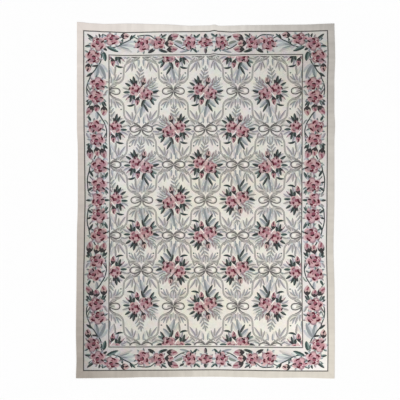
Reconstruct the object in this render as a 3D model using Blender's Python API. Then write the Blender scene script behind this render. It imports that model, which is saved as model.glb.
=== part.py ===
"""A petit-point carpet: one stitched canvas, with a strip of cloth folded over each of its four edges.

Metres, +Z up. The carpet lies face up on Z = 0, its width along X and its length along Y.
The origin is on the floor, under the middle of the carpet's bounding box.

Every piece is first laid out on the straight rectangle that the carpet was cut to. One function,
settled(), then carries each point to where the real cloth has drawn in or spread.
"""

import math
from collections import namedtuple

import bmesh
import bpy

# Sizes of the straight rectangle, 8 ft by 11 ft
HALF_WIDTH = 1.219
HALF_LENGTH = 1.6765

# Thicknesses, from the canvas outwards
WOOL_THICK = 0.0048
CANVAS_THICK = 0.0014
CLOTH_THICK = 0.0012
GAP = 0.0003

# The binding: how far it reaches in over the face and the back, and the shape of its fold
BAND = 0.062
FOLD_ROUND = 0.003
FOLD_CORNERS = 4
CANVAS_INSET = 0.005
BAND_THICK = 2 * CLOTH_THICK + 2 * GAP + CANVAS_THICK

# The worked part of the canvas stops one gap short of the binding
WORKED_HALF_WIDTH = HALF_WIDTH - BAND - GAP
WORKED_HALF_LENGTH = HALF_LENGTH - BAND - GAP

# The longest straight step along an edge
LONGEST_STEP = 0.17

# How far each edge lies outside its straight line, and the seam inside it likewise, at places
# along the edge. Negative is inwards. The middle of the short edges has drawn in the most, and the
# pulled place on the top edge, 80 mm to the right of its middle, is where the binding was joined.
Wander = namedtuple("Wander", "along edge seam")

TOP = [
    Wander(-1.219, 0.013, 0.000),
    Wander(-1.060, -0.001, -0.007),
    Wander(-0.960, -0.007, -0.013),
    Wander(-0.740, -0.003, -0.020),
    Wander(-0.400, -0.010, -0.014),
    Wander(-0.150, -0.023, -0.012),
    Wander(0.030, -0.021, -0.010),
    Wander(0.080, -0.013, -0.001),
    Wander(0.130, -0.024, -0.009),
    Wander(0.250, -0.022, -0.015),
    Wander(0.390, -0.018, -0.010),
    Wander(0.900, -0.013, -0.009),
    Wander(1.219, -0.002, -0.001),
]

BOTTOM = [
    Wander(-1.219, 0.010, 0.004),
    Wander(-0.800, 0.006, 0.002),
    Wander(-0.560, 0.000, 0.001),
    Wander(0.080, -0.004, -0.003),
    Wander(0.380, 0.001, 0.001),
    Wander(0.580, 0.007, 0.005),
    Wander(0.900, 0.005, 0.008),
    Wander(1.219, 0.013, 0.009),
]

LEFT = [
    Wander(-1.6765, 0.009, 0.004),
    Wander(-1.520, 0.004, 0.004),
    Wander(-1.270, 0.009, 0.004),
    Wander(-0.780, 0.004, 0.003),
    Wander(-0.360, 0.000, -0.004),
    Wander(0.000, -0.008, -0.010),
    Wander(0.480, -0.008, -0.006),
    Wander(0.700, 0.000, -0.001),
    Wander(1.180, 0.000, 0.002),
    Wander(1.6765, 0.000, 0.003),
]

RIGHT = [
    Wander(-1.6765, 0.003, 0.006),
    Wander(-1.380, 0.005, 0.009),
    Wander(-0.890, 0.003, 0.002),
    Wander(-0.430, -0.008, -0.006),
    Wander(0.000, 0.001, -0.001),
    Wander(0.560, 0.001, 0.002),
    Wander(0.705, 0.007, 0.003),
    Wander(0.860, 0.001, 0.003),
    Wander(1.120, 0.001, 0.004),
    Wander(1.350, 0.009, 0.009),
    Wander(1.6765, 0.001, 0.003),
]

# Colours, as the cloth's own colour in linear light, and how rough each cloth is
WOOL_COLOUR = (0.62, 0.56, 0.50, 1.0)
CLOTH_COLOUR = (0.66, 0.61, 0.53, 1.0)
WOOL_ROUGHNESS = 0.95
CLOTH_ROUGHNESS = 0.9


def read(table, along):
    """The edge's and the seam's wander at one place along an edge, eased from row to row."""
    after = next((i for i, row in enumerate(table) if row.along >= along), len(table) - 1)
    last, following = table[max(after - 1, 0)], table[max(after, 1)]
    share = (along - last.along) / (following.along - last.along)
    share = min(max(share, 0.0), 1.0)
    eased = share * share * (3 - 2 * share)
    edge = last.edge + (following.edge - last.edge) * eased
    seam = last.seam + (following.seam - last.seam) * eased
    return edge, seam


def pull(reach, half, low_table, high_table, along):
    """How far a point moves outwards across the carpet, for its distance from the middle line.

    Nothing moves at the middle. The pull grows evenly to the seam, and from the seam to the edge.
    """
    edge, seam = read(high_table if reach > 0 else low_table, along)
    distance, seam_at = abs(reach), half - BAND
    if distance < seam_at:
        moved = seam * distance / seam_at
    else:
        moved = seam + (edge - seam) * (distance - seam_at) / BAND
    return moved if reach > 0 else -moved


def settled(x, y, z):
    """Where a point of the straight rectangle lies on the carpet as it has settled."""
    across = pull(x, HALF_WIDTH, LEFT, RIGHT, y)
    lengthwise = pull(y, HALF_LENGTH, BOTTOM, TOP, x)
    return (x + across, y + lengthwise, z)


def places(tables, half):
    """The places along a pair of edges, between their corners: each table row's, and steps between.

    A row nearer to the corner than half the binding's width would make a sliver, and is left out.
    """
    rows = {row.along for table in tables for row in table}
    marks = [-half, *sorted(along for along in rows if abs(along) < half - BAND / 2), half]
    found = []
    for start, end in zip(marks, marks[1:]):
        steps = math.ceil((end - start) / LONGEST_STEP)
        found += [start + (end - start) * i / steps for i in range(steps)]
    return found[1:]


COLUMNS = places((TOP, BOTTOM), WORKED_HALF_WIDTH)
ROWS = places((LEFT, RIGHT), WORKED_HALF_LENGTH)


def new_object(name, bm, colour, roughness):
    """Makes the closed mesh in bm into an object with a plain finish."""
    bmesh.ops.recalc_face_normals(bm, faces=bm.faces)
    mesh = bpy.data.meshes.new(name)
    bm.to_mesh(mesh)
    bm.free()
    finish = bpy.data.materials.new(name)
    finish.use_nodes = True
    shader = finish.node_tree.nodes["Principled BSDF"]
    shader.inputs["Base Color"].default_value = colour
    shader.inputs["Roughness"].default_value = roughness
    shader.inputs["Metallic"].default_value = 0.0
    finish.diffuse_color = colour
    mesh.materials.append(finish)
    made = bpy.data.objects.new(name, mesh)
    bpy.context.scene.collection.objects.link(made)
    return made


def grid(bm, half_width, half_length, z):
    """A flat sheet of quads at one height, returned as its rim, in order round the sheet."""
    xs = [-half_width, *COLUMNS, half_width]
    ys = [-half_length, *ROWS, half_length]
    sheet = [[bm.verts.new(settled(x, y, z)) for x in xs] for y in ys]
    for lower, upper in zip(sheet, sheet[1:]):
        for i in range(len(xs) - 1):
            bm.faces.new((lower[i], lower[i + 1], upper[i + 1], upper[i]))
    bottom, top = sheet[0], sheet[-1][::-1]
    right = [row[-1] for row in sheet[1:-1]]
    left = [row[0] for row in sheet[1:-1]][::-1]
    return bottom + right + top + left


def loop(bm, half_width, half_length, z):
    """A loop of points round the carpet that matches the rim of a grid, point for point."""
    xs = [-half_width, *COLUMNS, half_width]
    bottom = [(x, -half_length) for x in xs]
    right = [(half_width, y) for y in ROWS]
    top = [(x, half_length) for x in xs[::-1]]
    left = [(-half_width, y) for y in ROWS[::-1]]
    return [bm.verts.new(settled(x, y, z)) for x, y in bottom + right + top + left]


def join_loops(bm, loops):
    """Walls of quads from each loop to the one after it."""
    for one, other in zip(loops, loops[1:]):
        for i in range(len(one)):
            j = (i + 1) % len(one)
            bm.faces.new((one[i], one[j], other[j], other[i]))


def worked_canvas():
    """The canvas: full thickness where wool covers it, with a thin bare margin all round.

    The margin lies at half the binding's height, so that the folded strips close over it.
    """
    bm = bmesh.new()
    margin_low = CLOTH_THICK + GAP
    margin_high = margin_low + CANVAS_THICK
    worked = (WORKED_HALF_WIDTH, WORKED_HALF_LENGTH)
    outer = (HALF_WIDTH - CANVAS_INSET, HALF_LENGTH - CANVAS_INSET)
    face = grid(bm, *worked, WOOL_THICK)
    back = grid(bm, *worked, 0.0)
    join_loops(
        bm,
        [
            face,
            loop(bm, *worked, margin_high),
            loop(bm, *outer, margin_high),
            loop(bm, *outer, margin_low),
            loop(bm, *worked, margin_low),
            back,
        ],
    )
    return new_object("worked_canvas", bm, WOOL_COLOUR, WOOL_ROUGHNESS)


def binding_section():
    """The folded strip cut across: (distance in from the edge, height) from the face round the fold."""
    middle = BAND_THICK / 2
    outer = [(BAND, BAND_THICK)]
    for i in range(FOLD_CORNERS + 1):
        turn = math.pi / 2 + math.pi * i / FOLD_CORNERS
        outer.append((FOLD_ROUND * (1 + math.cos(turn)), middle * (1 + math.sin(turn))))
    outer.append((BAND, 0.0))
    pocket = CANVAS_INSET - GAP
    inner = [
        (BAND, CLOTH_THICK),
        (pocket, CLOTH_THICK),
        (pocket, BAND_THICK - CLOTH_THICK),
        (BAND, BAND_THICK - CLOTH_THICK),
    ]
    return outer + inner


def binding(name, half_along, half_across, inner_places, laid):
    """One folded strip, mitred at both ends. laid(along, across) gives its place on the rectangle."""
    bm = bmesh.new()
    rings = []
    for place in [-half_along, *inner_places, half_along]:
        ring = []
        for depth, z in binding_section():
            mitre = half_along - depth - GAP
            along = math.copysign(mitre, place) if abs(place) == half_along else place
            ring.append(bm.verts.new(settled(*laid(along, half_across - depth), z)))
        rings.append(ring)
    join_loops(bm, rings)
    bm.faces.new(rings[0])
    bm.faces.new(rings[-1])
    return new_object(name, bm, CLOTH_COLOUR, CLOTH_ROUGHNESS)


def main():
    for old in list(bpy.data.objects):
        bpy.data.objects.remove(old)
    worked_canvas()
    across = (HALF_WIDTH, HALF_LENGTH, COLUMNS)
    lengthwise = (HALF_LENGTH, HALF_WIDTH, ROWS)
    binding("binding_top", *across, lambda along, out: (along, out))
    binding("binding_bottom", *across, lambda along, out: (along, -out))
    binding("binding_left", *lengthwise, lambda along, out: (-out, along))
    binding("binding_right", *lengthwise, lambda along, out: (out, along))


main()
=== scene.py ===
# %% [markdown]
# # A petit-point carpet
#
# The carpet is a canvas covered with wool stitches: rose posies in a trellis of ribbons, inside a
# border of garlands. Each edge is closed with a strip of cream cloth that is folded over it.
#
# The solids are already made, and this script dresses them. They give the place of every piece,
# so they are loaded first and never moved.

# %% Load the solids
import cmath
import math

import bpy
import numpy as np
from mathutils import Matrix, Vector
from mathutils.geometry import delaunay_2d_cdt


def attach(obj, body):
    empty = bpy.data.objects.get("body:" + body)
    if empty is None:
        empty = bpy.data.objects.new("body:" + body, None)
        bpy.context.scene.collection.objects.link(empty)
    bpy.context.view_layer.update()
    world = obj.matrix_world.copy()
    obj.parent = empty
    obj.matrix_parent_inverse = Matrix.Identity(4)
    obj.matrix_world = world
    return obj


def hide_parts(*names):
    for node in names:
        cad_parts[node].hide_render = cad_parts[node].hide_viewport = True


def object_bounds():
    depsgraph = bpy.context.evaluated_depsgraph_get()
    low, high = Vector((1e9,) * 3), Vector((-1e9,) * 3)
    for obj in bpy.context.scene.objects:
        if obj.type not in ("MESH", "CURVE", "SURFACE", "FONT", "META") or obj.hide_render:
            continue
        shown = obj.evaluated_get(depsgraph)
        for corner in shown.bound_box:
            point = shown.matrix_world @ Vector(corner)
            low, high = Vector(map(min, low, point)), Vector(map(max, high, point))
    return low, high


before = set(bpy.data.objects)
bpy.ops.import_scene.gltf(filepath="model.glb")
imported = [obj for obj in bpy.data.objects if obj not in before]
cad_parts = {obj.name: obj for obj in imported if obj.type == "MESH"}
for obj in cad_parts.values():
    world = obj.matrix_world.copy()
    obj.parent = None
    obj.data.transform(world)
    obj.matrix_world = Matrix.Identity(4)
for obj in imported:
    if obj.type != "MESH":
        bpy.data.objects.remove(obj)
solid_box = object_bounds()

print("solids:", sorted(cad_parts), [round(v, 4) for corner in solid_box for v in corner])

# %% [markdown]
# ## Camera, floor and light
#
# The photograph looks straight down, so a long way up is a good place for the camera: a long lens
# keeps the edges square. One pixel of the photograph is 9.475 mm of carpet, which gives the height.

# %% Camera
PHOTO_PX = 400
MM_PER_PX = 9.475
CARPET_MIDDLE_X_PX = 205.55
CARPET_MIDDLE_Y_PX = 200.275
LENS_MM = 70.0
SENSOR_MM = 36.0
FAR_M = 200.0


def add_object(name, data):
    """Puts a new object into the scene, for a camera, a light or a mesh."""
    made = bpy.data.objects.new(name, data)
    bpy.context.scene.collection.objects.link(made)
    return made


span = PHOTO_PX * MM_PER_PX / 1000
camera = add_object("camera", bpy.data.cameras.new("camera"))
camera.data.lens = LENS_MM
camera.data.sensor_width = SENSOR_MM
camera.data.clip_end = FAR_M
camera.location = (
    (PHOTO_PX / 2 - CARPET_MIDDLE_X_PX) * MM_PER_PX / 1000,
    (CARPET_MIDDLE_Y_PX - PHOTO_PX / 2) * MM_PER_PX / 1000,
    span * LENS_MM / SENSOR_MM + solid_box[1][2],
)
bpy.context.scene.camera = camera
print(f"camera {camera.location.z:.2f} m up, seeing {span:.2f} m across")

# %% [markdown]
# Even light from all round keeps the colours true, and one large soft sun from the upper left is
# enough to show the stitches and the waves in the cloth. The scene's view is set to Standard, so a
# colour chosen for a yarn comes out as that colour.

# %% Light
SKY = 0.62
SUN = 1.62
SUN_SOFTNESS_DEG = 25.0
SUN_TILT_DEG = (28.0, -30.0)

bpy.context.scene.view_settings.view_transform = "Standard"
world = bpy.data.worlds.new("studio")
world.use_nodes = True
sky = world.node_tree.nodes["Background"].inputs
sky["Color"].default_value = (1.0, 1.0, 1.0, 1.0)
sky["Strength"].default_value = SKY
bpy.context.scene.world = world

sun = add_object("sun", bpy.data.lights.new("sun", "SUN"))
sun.data.energy = SUN
sun.data.angle = math.radians(SUN_SOFTNESS_DEG)
sun.rotation_euler = [math.radians(a) for a in (*SUN_TILT_DEG, 0.0)]

# %% [markdown]
# ## Shader maths
#
# A shader's maths is easier to read as a formula than as a net of nodes. `Value` wraps one socket:
# adding or multiplying two of them adds the Math node that does it. `Finish` is one material, and
# its `add` makes any other node from its type, its settings and what its sockets hold.

# %% Value and Finish
class Value:
    """One socket of a finish, which can be used in a sum."""

    def __init__(self, finish, socket):
        self.finish, self.socket = finish, socket

    def __add__(self, other):
        return self.finish.math("ADD", self, other)

    def __sub__(self, other):
        return self.finish.math("SUBTRACT", self, other)

    def __rsub__(self, other):
        return self.finish.math("SUBTRACT", other, self)

    def __mul__(self, other):
        return self.finish.math("MULTIPLY", self, other)

    __radd__, __rmul__ = __add__, __mul__


class Finish:
    """A material, built round one Principled BSDF."""

    def __init__(self, name, **sockets):
        self.material = bpy.data.materials.new(name)
        self.material.use_nodes = True
        self.nodes = self.material.node_tree.nodes
        self.links = self.material.node_tree.links
        self.shader = self.nodes["Principled BSDF"]
        for socket, value in sockets.items():
            self.feed(self.shader.inputs[socket.replace("_", " ")], value)

    def feed(self, socket, value):
        if isinstance(value, Value):
            self.links.new(value.socket, socket)
        else:
            socket.default_value = value

    def add(self, kind, settings=None, inputs=None, output=0):
        node = self.nodes.new(kind)
        for name, value in (settings or {}).items():
            setattr(node, name, value)
        for name, value in (inputs or {}).items():
            self.feed(node.inputs[name], value)
        return Value(self, node.outputs[output])

    def math(self, operation, *values):
        """A sum of sockets: of numbers, or of vectors and colours where one of them is wide."""
        kinds = [v.socket.type if isinstance(v, Value) else type(v) for v in values]
        wide = any(kind in (tuple, "VECTOR", "RGBA") for kind in kinds)
        if wide:
            values = [v if isinstance(v, (Value, tuple)) else (v, v, v) for v in values]
        kind = "ShaderNodeVectorMath" if wide else "ShaderNodeMath"
        return self.add(kind, {"operation": operation}, dict(enumerate(values)))

    def colour(self, value):
        self.feed(self.shader.inputs["Base Color"], value)

    def split(self, vector):
        """The three numbers of a vector."""
        return [self.add("ShaderNodeSeparateXYZ", inputs={0: vector}, output=i) for i in range(3)]

    def place(self):
        """Where a point lies on the object, as a vector in metres and its three numbers."""
        spot = self.add("ShaderNodeTexCoord", output="Object")
        return [spot, *self.split(spot)]

    def noise(self, where, scale, detail=2.0, output=0):
        """Soft random values round 0, from about -0.5 to 0.5. Output 1 gives a random colour."""
        inputs = {"Vector": where, "Scale": scale, "Detail": detail}
        return self.add("ShaderNodeTexNoise", inputs=inputs, output=output) - 0.5

    def bump(self, height, distance, strength=1.0):
        inputs = {"Height": height, "Distance": distance, "Strength": strength}
        self.feed(self.shader.inputs["Normal"], self.add("ShaderNodeBump", inputs=inputs))


def linear(colour):
    """A colour given as three sRGB numbers up to 255, in linear light."""
    parts = np.array(colour, float) / 255
    return np.where(parts <= 0.04045, parts / 12.92, ((parts + 0.055) / 1.055) ** 2.4)


# %% [markdown]
# The floor is a plain white sheet, wide enough to fill any view. A little grain stops it from
# looking like empty paper.

# %% Floor
FLOOR_HALF = 40.0
FLOOR_WHITE = 0.975
GRAIN_SCALE = 3.0
GRAIN_TONE = 0.01


def mesh_object(name, points, faces):
    mesh = bpy.data.meshes.new(name)
    mesh.from_pydata(points, [], faces)
    return add_object(name, mesh)


corners = [(-1, -1), (1, -1), (1, 1), (-1, 1)]
floor = mesh_object("floor", [(x * FLOOR_HALF, y * FLOOR_HALF, 0.0) for x, y in corners], [range(4)])
floor_finish = Finish("floor_white", Roughness=0.9)
grain = floor_finish.noise(floor_finish.place()[0], GRAIN_SCALE)
floor_finish.colour(grain * GRAIN_TONE + (FLOOR_WHITE,) * 3)
floor.data.materials.append(floor_finish.material)

# %% [markdown]
# ## The outline
#
# A maker cuts the canvas as a straight rectangle, and it settles out of true when it is stitched
# and laid. So everything here is first laid out straight, in millimetres from the middle, and
# `settle` then carries it to where the cloth really lies. The tables say how far each edge, and
# the seam inside it, lie outside the straight line. They are the ones that the solids were made
# from, so the two agree.

# %% Sizes
HALF_WIDTH = 1219.0
HALF_LENGTH = 1676.5
BAND = 62.0
GAP = 0.3
WORKED_X = HALF_WIDTH - BAND - GAP
WORKED_Y = HALF_LENGTH - BAND - GAP

WOOL_THICK = 4.8
CANVAS_THICK = 1.4
CLOTH_THICK = 1.2
CANVAS_INSET = 5.0
BAND_THICK = 2 * CLOTH_THICK + 2 * GAP + CANVAS_THICK

# %% How far the edges wander
# Each row: a place along the edge, how far out the edge lies there, and how far out the seam
TOP = [
    (-1219, 13, 0), (-1060, -1, -7), (-960, -7, -13), (-740, -3, -20), (-400, -10, -14),
    (-150, -23, -12), (30, -21, -10), (80, -13, -1), (130, -24, -9), (250, -22, -15),
    (390, -18, -10), (900, -13, -9), (1219, -2, -1),
]
BOTTOM = [
    (-1219, 10, 4), (-800, 6, 2), (-560, 0, 1), (80, -4, -3), (380, 1, 1), (580, 7, 5), (900, 5, 8),
    (1219, 13, 9),
]
LEFT = [
    (-1676.5, 9, 4), (-1520, 4, 4), (-1270, 9, 4), (-780, 4, 3), (-360, 0, -4), (0, -8, -10),
    (480, -8, -6), (700, 0, -1), (1180, 0, 2), (1676.5, 0, 3),
]
RIGHT = [
    (-1676.5, 3, 6), (-1380, 5, 9), (-890, 3, 2), (-430, -8, -6), (0, 1, -1), (560, 1, 2),
    (705, 7, 3), (860, 1, 3), (1120, 1, 4), (1350, 9, 9), (1676.5, 1, 3),
]


def read(table, along):
    """The edge's and the seam's wander at many places along an edge."""
    marks, *columns = np.array(table, float).T
    after = np.clip(np.searchsorted(marks, along), 1, len(marks) - 1)
    share = np.clip((along - marks[after - 1]) / (marks[after] - marks[after - 1]), 0, 1)
    eased = share * share * (3 - 2 * share)
    return [values[after - 1] + (values[after] - values[after - 1]) * eased for values in columns]


def pull(reach, half, low, high, along):
    """How far points move outwards, for their distance from the middle line."""
    ahead = reach > 0
    edge, seam = (np.where(ahead, h, l) for h, l in zip(read(high, along), read(low, along)))
    distance, seam_at = np.abs(reach), half - BAND
    outside = seam + (edge - seam) * (distance - seam_at) / BAND
    moved = np.where(distance < seam_at, seam * distance / seam_at, outside)
    return np.where(ahead, moved, -moved)


def settle(x, y):
    """Straight places in millimetres to where they lie on the carpet, in metres."""
    across = pull(x, HALF_WIDTH, LEFT, RIGHT, y)
    lengthwise = pull(y, HALF_LENGTH, BOTTOM, TOP, x)
    return (x + across) / 1000, (y + lengthwise) / 1000


# %% [markdown]
# Nor does a stitched canvas lie quite flat. It has soft swells of a millimetre or two, which are
# stronger near the edges, where the binding holds it shorter than the middle. A few slow waves
# added together give them, and the same swell lifts every piece, so they stay in touch.

# %% Swells
# Each wave: its length, its direction in degrees, where it starts, and its height
SWELLS = [(910, 20, 0.4, 0.55), (640, 105, 2.1, 0.45), (430, 62, 4.0, 0.35), (270, 150, 1.2, 0.25)]
MIDDLE_SWELL = 0.5
EDGE_SWELL = 1.1
EDGE_REACH = 260.0


def swell(x, y):
    """How far the cloth lies off the floor, in millimetres, never below it."""
    total = np.zeros_like(x)
    for length, direction, start, height in SWELLS:
        turn = math.radians(direction)
        run = x * math.cos(turn) + y * math.sin(turn)
        total += height * (1 + np.sin(math.tau * run / length + start)) / 2
    inside = np.minimum(HALF_WIDTH - np.abs(x), HALF_LENGTH - np.abs(y))
    return total * (MIDDLE_SWELL + EDGE_SWELL * np.exp(-np.maximum(inside, 0) / EDGE_REACH))


ring = np.linspace(-HALF_WIDTH, HALF_WIDTH, 200)
print(f"swells up to {swell(ring, np.full(200, HALF_LENGTH)).max():.2f} mm at the top edge")

# %% [markdown]
# ## Yarns
#
# A stitcher works from a bag of plain wools, a few tones of each colour. Shading comes from laying
# tones side by side, so each shape below is one flat colour.

# %% Yarns
YARNS = {
    "cream": (230, 226, 218),
    "white": (240, 236, 229),
    "ash": (211, 207, 201),
    "border_cream": (220, 216, 211),
    "guard": (92, 90, 86),
    "rose_pale": (207, 179, 179),
    "rose_light": (197, 162, 164),
    "rose_mid": (176, 130, 137),
    "rose_deep": (136, 76, 90),
    "rose_dusk": (157, 129, 134),
    "crimson": (82, 16, 32),
    "maroon": (52, 20, 27),
    "bud_beige": (191, 164, 159),
    "bud_mauve": (173, 144, 147),
    "calyx": (56, 52, 53),
    "leaf_dark": (52, 55, 55),
    "leaf_green": (50, 70, 67),
    "leaf_sage": (90, 104, 101),
    "leaf_light": (112, 131, 128),
    "stem": (66, 81, 81),
    "mist": (138, 144, 148),
    "mist_light": (185, 188, 191),
    "ice": (208, 214, 208),
    "sage": (128, 134, 127),
    "stone": (146, 144, 141),
    "stone_light": (187, 184, 180),
    "lilac": (149, 146, 152),
    "lilac_light": (188, 184, 190),
    "mauve_grey": (144, 128, 132),
    "ribbon": (136, 134, 130),
    "ribbon_light": (190, 187, 182),
    "ribbon_dark": (98, 96, 94),
}

# %% [markdown]
# ## The chart
#
# The design is drawn on a chart before it is stitched. Here a place on the chart is one complex
# number: its real part runs across and its imaginary part up, in millimetres. Adding moves a
# place, and multiplying turns it, which suits petals and leaves well.
#
# A `Pen` draws from an origin of its own, and may be mirrored. The whole carpet is a mirror
# image of itself both ways, so most of it is drawn once and repeated by such pens.

# %% Chart and Pen
class Chart:
    """The shapes of the design, in the order in which they are laid: later ones cover earlier."""

    def __init__(self):
        self.outlines, self.yarns = [], []

    def add(self, outline, yarn):
        self.outlines.append(outline)
        self.yarns.append(yarn)


def cut(outline, inside, crossing):
    """The part of an outline on one side of a line."""
    kept = []
    for one, other in zip(outline, outline[1:] + outline[:1]):
        if inside(one):
            kept.append(one)
        if inside(one) != inside(other):
            kept.append(crossing(one, other))
    return kept


class Pen:
    """Draws on a chart, from an origin, mirrored or not, and only inside a window."""

    def __init__(self, chart, origin=0j, flip_x=1, flip_y=1, window=None):
        self.chart, self.origin, self.flip_x, self.flip_y = chart, origin, flip_x, flip_y
        self.window = window

    def at(self, origin, flip_x=1, flip_y=1):
        """The same pen with its origin at another place, seen from this pen."""
        flips = self.flip_x * flip_x, self.flip_y * flip_y
        return Pen(self.chart, self.put(origin), *flips, self.window)

    def put(self, place):
        return self.origin + complex(place.real * self.flip_x, place.imag * self.flip_y)

    def fill(self, outline, yarn):
        placed = [self.put(place) for place in outline]
        if self.window:
            placed = self.inside_window(placed)
        if len(placed) > 2:
            self.chart.add(placed, yarn)

    def inside_window(self, outline):
        for sign in (1, -1):
            for turn, limit in ((1, self.window.real), (-1j, self.window.imag)):
                # The line that is crossed is upright once the outline is turned
                turned = [place * turn * sign for place in outline]
                if all(place.real < limit for place in turned):
                    continue
                turned = cut(
                    turned,
                    lambda place: place.real < limit,
                    lambda a, b: a + (b - a) * (limit - a.real) / (b.real - a.real),
                )
                outline = [place / (turn * sign) for place in turned]
        return outline


# %% [markdown]
# Three kinds of shape make up nearly everything: a spot, a stroke along a soft curve, and a leaf.
# A leaf is two tones, as a stitcher shades it, one on each side of its rib.

# %% Spots, strokes and leaves
def spot_shape(pen, centre, wide, tall, yarn, turn=0.0, points=8):
    """An oval, whose long way is turned by some degrees."""
    angle = cmath.rect(1, math.radians(turn))
    round_it = [math.tau * i / points for i in range(points)]
    pen.fill([centre + complex(wide * math.cos(a), tall * math.sin(a)) * angle for a in round_it], yarn)


def smooth(points, steps=3):
    """A soft curve through points, as short straight lines."""
    ends = [points[0], *points, points[-1]]
    found = []
    for a, b, c, d in zip(ends, ends[1:], ends[2:], ends[3:]):
        for i in range(steps):
            t = i / steps
            bend = (2 * a - 5 * b + 4 * c - d) * t * t + (3 * b - a - 3 * c + d) * t**3
            found.append((2 * b + (c - a) * t + bend) / 2)
    return [*found, points[-1]]


def stroke(pen, points, width, yarn, end_width=None, steps=3):
    """A stroke along a soft curve, which may grow thinner or wider towards its end."""
    path = smooth(points, steps) if len(points) > 2 else list(points)
    last = width if end_width is None else end_width
    left, right = [], []
    for i, place in enumerate(path):
        ahead = path[min(i + 1, len(path) - 1)] - path[max(i - 1, 0)]
        half = (width + (last - width) * i / (len(path) - 1)) / 2
        aside = 1j * ahead / abs(ahead) * half
        left.append(place + aside)
        right.append(place - aside)
    pen.fill(right + left[::-1], yarn)


# How wide a leaf is at places along it, and where its rib runs
LEAF_STATIONS = [(0.0, 0.3), (0.16, 0.8), (0.42, 1.0), (0.7, 0.84), (0.88, 0.48)]
RIB = [(0.16, -0.12), (0.5, -0.12), (0.84, -0.12)]


def leaf(pen, base, tip, width, yarn, light=None, bend=0.0):
    """A pointed leaf. bend bows it to its left, and light is the tone of its soft right edge."""
    way = tip - base
    aside = 1j * way / abs(way)

    def on(along, side):
        return base + way * along + aside * (side * width / 2 + bend * 4 * along * (1 - along))

    left = [on(along, wide) for along, wide in LEAF_STATIONS]
    right = [on(along, -wide) for along, wide in LEAF_STATIONS]
    pen.fill([*right, tip, *left[::-1]], yarn)
    if light:
        pen.fill([*right[1:], *(on(*place) for place in RIB[::-1])], light)


def draw(shape, pen, rows):
    """Draws one shape for each row of a table."""
    for row in rows:
        shape(pen, *row)


def mirrored(pen):
    """A pen for the right of a motif, and one for its left."""
    return [pen.at(0j, side) for side in (1, -1)]


# %% [markdown]
# ## Roses and buds
#
# A rose is a ring of broad petals in three or four pinks, a few smaller and deeper ones inside
# them, and dark crimson marks where the petals fold. The marks do most of the work: from across a
# room they are all that tells one rose from the next. Each rose of the border is turned by its own
# angle, and a cuff of soft leaves shows behind it. The numbers are for a rose of radius 1.

# %% Rose
# The tones of the five outer petals: the rim that catches the light, then the hollow
OUTER_PETALS = [
    ("rose_pale", "rose_mid"),
    ("rose_dusk", "rose_light"),
    ("rose_light", "rose_mid"),
    ("rose_dusk", "rose_pale"),
    ("rose_light", "rose_dusk"),
]
INNER_PETALS = ["rose_mid", "rose_light", "rose_deep"]
# How far out a petal sits, and its half length and half width
RIM = (0.64, 0.45, 0.47)
HOLLOW = (0.52, 0.33, 0.33)
INNER = (0.24, 0.28, 0.26)
PETAL_POINTS = 8
PETAL_TURN = 0.25
BACKING = 0.86
CUFF = 9
CUFF_TURN = 0.4
CUFF_SPAN = (0.7, 1.36)
CUFF_WIDTH = 26
CUFF_YARNS = ["mauve_grey", "mist", "leaf_sage"]
MARK_TAPER = 0.8

# Each mark is a short curved stroke: three places, its width and its yarn
MARKS = [
    (-0.80 + 0.18j, -0.62 + 0.42j, -0.36 + 0.44j, 0.28, "crimson"),
    (0.26 + 0.66j, 0.52 + 0.50j, 0.58 + 0.24j, 0.26, "crimson"),
    (0.40 - 0.26j, 0.62 - 0.34j, 0.76 - 0.54j, 0.23, "maroon"),
    (-0.26 - 0.52j, -0.06 - 0.68j, 0.16 - 0.70j, 0.29, "crimson"),
    (-0.30 - 0.06j, -0.10 + 0.08j, 0.12 + 0.02j, 0.21, "maroon"),
    (-0.70 - 0.26j, -0.58 - 0.42j, -0.42 - 0.48j, 0.16, "rose_deep"),
    (0.00 + 0.34j, 0.16 + 0.36j, 0.24 + 0.22j, 0.14, "rose_deep"),
]


def cuff(pen, centre, wide, tall):
    """The soft leaves that show behind a rose, all round it."""
    for i in range(CUFF):
        out = cmath.rect(1, math.tau * (i + CUFF_TURN) / CUFF)
        base, tip = (centre + complex(out.real * wide, out.imag * tall) * reach for reach in CUFF_SPAN)
        leaf(pen, base, tip, CUFF_WIDTH, CUFF_YARNS[i % len(CUFF_YARNS)], "mist_light")


def rose(pen, centre, wide, tall, turn=0.0, marks=MARKS):
    """A rose seen from above, wide and tall being its two radii."""
    turned = cmath.rect(1, math.radians(turn))
    around = [cmath.rect(1, math.tau * i / PETAL_POINTS) for i in range(PETAL_POINTS)]

    def on(places):
        shape = [place * turned for place in places]
        return [centre + complex(place.real * wide, place.imag * tall) for place in shape]

    def petal(form, way, yarn):
        reach, long, broad = form
        pen.fill(on([(reach + complex(p.real * long, p.imag * broad)) * way for p in around]), yarn)

    if marks is MARKS:
        cuff(pen, centre, wide, tall)
    pen.fill(on([place * BACKING for place in around]), "rose_dusk")
    for i, (rim, hollow) in enumerate(OUTER_PETALS):
        way = cmath.rect(1, math.tau * (i + PETAL_TURN) / len(OUTER_PETALS))
        petal(RIM, way, rim)
        petal(HOLLOW, way, hollow)
    for i, yarn in enumerate(INNER_PETALS):
        petal(INNER, cmath.rect(1, math.tau * i / len(INNER_PETALS)), yarn)
    for *places, width, yarn in marks:
        thick = width * (wide + tall) / 2
        stroke(pen, on(places), thick, yarn, thick * MARK_TAPER, 2)


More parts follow.
